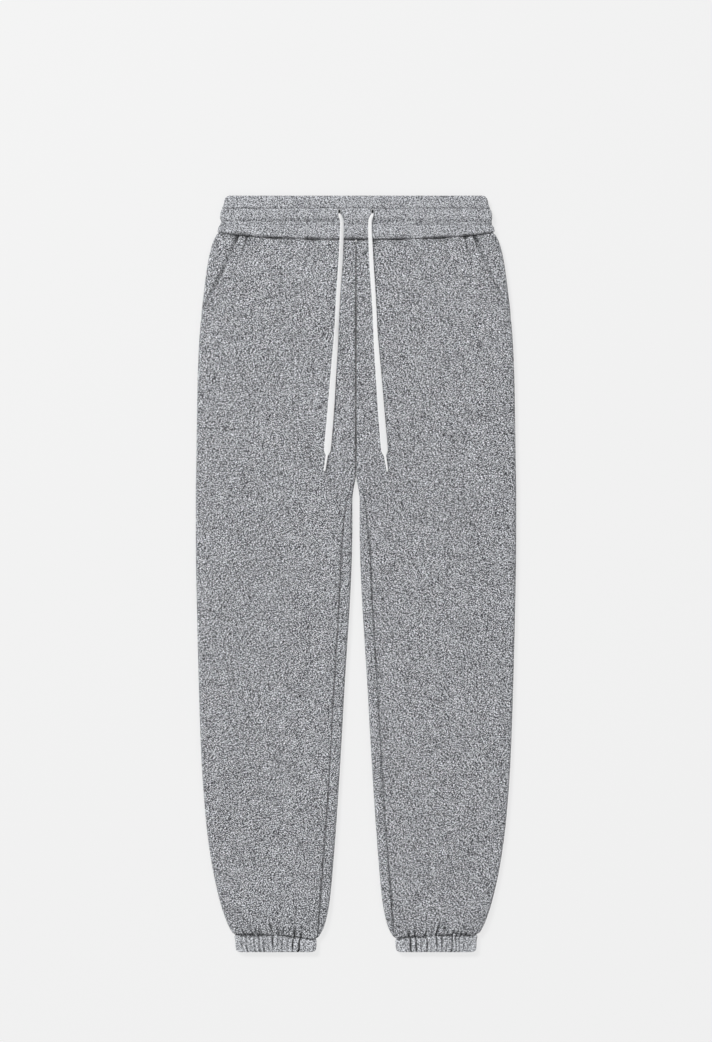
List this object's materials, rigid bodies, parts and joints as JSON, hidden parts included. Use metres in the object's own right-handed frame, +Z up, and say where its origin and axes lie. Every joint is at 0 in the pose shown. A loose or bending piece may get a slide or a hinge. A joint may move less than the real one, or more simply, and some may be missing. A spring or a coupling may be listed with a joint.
{
  "type": "jogger sweatpants",
  "caption": "Jogger sweatpants in marl fleece laid flat front up, with an elastic waistband, drawcord ends, slant pockets and gathered elastic cuffs.",
  "frame": {"origin": "on the surface that the garment rests on, under the middle of its laid outline", "axes": "+X to the wearer's left, +Y from the cuffs to the waist edge, +Z up, out of the garment's front"},
  "size_m": [0.4314, 1.014, 0.0135],
  "materials": {
    "marl_fleece": "light grey marl loopback jersey, soft and matt",
    "eyelet_thread": "close buttonhole stitch in pale thread",
    "white_cord": "flat woven cotton cord, matt",
    "dipped_tip": "hardened dipped end, satin"
  },
  "bodies": {
    "root": {"waistband_front": "marl_fleece", "waistband_back": "marl_fleece", "front_right": "marl_fleece", "front_left": "marl_fleece", "pocket_facing_right": "marl_fleece", "pocket_facing_left": "marl_fleece", "back_right": "marl_fleece", "back_left": "marl_fleece", "cuff_front_right": "marl_fleece", "cuff_front_left": "marl_fleece", "cuff_back_right": "marl_fleece", "cuff_back_left": "marl_fleece", "eyelet_right": "eyelet_thread", "eyelet_left": "eyelet_thread", "drawcord_right": "white_cord", "drawcord_left": "white_cord", "cord_tip_right": "dipped_tip", "cord_tip_left": "dipped_tip"}
  },
  "joints": []
}
